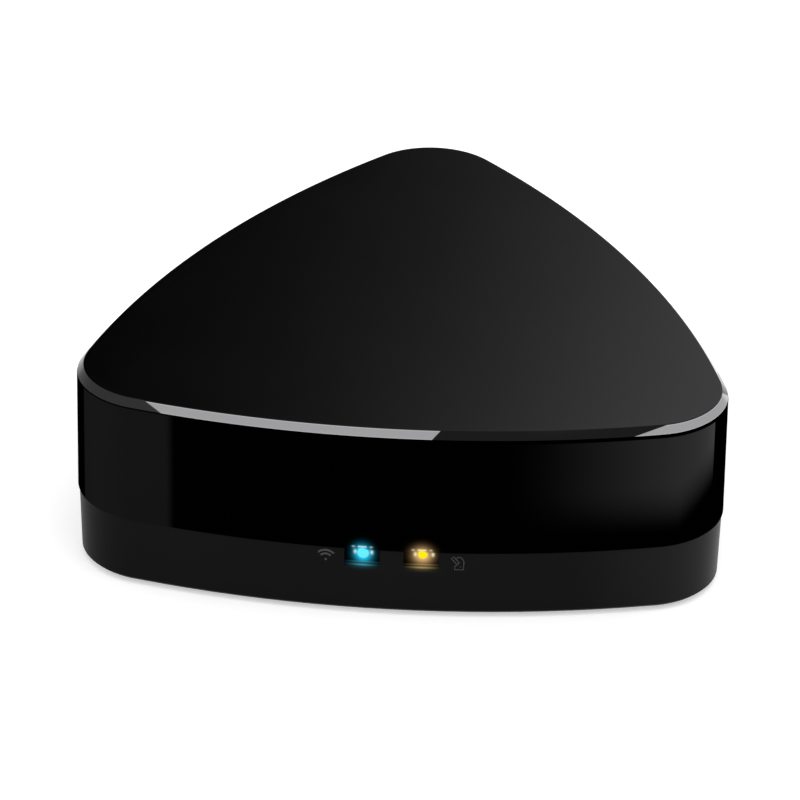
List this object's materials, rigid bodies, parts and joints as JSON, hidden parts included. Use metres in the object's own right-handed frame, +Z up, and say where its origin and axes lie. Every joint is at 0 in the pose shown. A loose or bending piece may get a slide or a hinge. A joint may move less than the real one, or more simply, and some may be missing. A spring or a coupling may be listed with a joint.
{
  "type": "smart infrared blaster",
  "caption": "Low rounded-triangle infrared hub: matt drafted base, smoked gloss window band, bevelled polished top plate, status lights in the front rim and a power inlet at the rear corner.",
  "frame": {"origin": "centre of the plan box, on the plane that the three feet stand on", "axes": "+Z up through the top plate, -Y out of the flat front with the status lights, +Y to the rear corner with the power inlet, +X to the right seen from the front"},
  "size_m": [0.119, 0.113, 0.0389],
  "materials": {
    "base_plastic": "fine satin moulding",
    "window_plastic": "smoked, high gloss, passes infrared",
    "plate_plastic": "polished with a polished bevel",
    "adhesive": "matt bonding sheet",
    "foot_rubber": "matt rubber",
    "steel": "zinc plated",
    "board_laminate": "green solder mask",
    "emitter_epoxy": "clear epoxy with a faint blue tint",
    "receiver_epoxy": "black epoxy",
    "radio_laminate": "dark blue solder mask",
    "tinplate": "tin plated sheet",
    "contact_alloy": "gold flashed strip",
    "chip_resin": "moulded resin",
    "ferrite": "sintered ferrite",
    "resistor_ceramic": "glazed ceramic with plated ends",
    "can_aluminium": "drawn can",
    "lamp_ceramic": "white package with a clear lens",
    "switch_plastic": "moulded nylon",
    "plunger_plastic": "moulded acetal"
  },
  "bodies": {
    "housing": {"base_shell": "base_plastic", "window_shell": "window_plastic", "top_plate": "plate_plastic", "plate_adhesive": "adhesive", "foot_rear": "foot_rubber", "foot_left": "foot_rubber", "foot_right": "foot_rubber", "case_screws": "steel", "board_screws": "steel", "main_board": "board_laminate", "ir_receiver": "receiver_epoxy", "wifi_board": "radio_laminate", "wifi_shield": "tinplate", "controller_chip": "chip_resin", "crystal": "can_aluminium", "regulator_chip": "chip_resin", "power_inductor": "ferrite", "bulk_capacitor": "can_aluminium", "emitter_transistors": "chip_resin", "chip_resistors": "resistor_ceramic", "status_led_network": "lamp_ceramic", "status_led_remote": "lamp_ceramic", "usb_socket_shell": "tinplate", "usb_socket_insert": "switch_plastic", "usb_contacts": "contact_alloy", "reset_switch_body": "switch_plastic", "reset_switch_cover": "tinplate", "ir_emitter_1": "emitter_epoxy", "ir_emitter_2": "emitter_epoxy", "ir_emitter_3": "emitter_epoxy", "ir_emitter_4": "emitter_epoxy", "ir_emitter_5": "emitter_epoxy", "ir_emitter_6": "emitter_epoxy"},
    "reset_button": {"reset_plunger": "plunger_plastic"}
  },
  "joints": [
    {"name": "reset_press", "type": "slide", "parent": "housing", "child": "reset_button", "axis": [0, 0, 1], "range_m": [0, 0.00025], "stiffness_N_per_m": 1500}
  ]
}
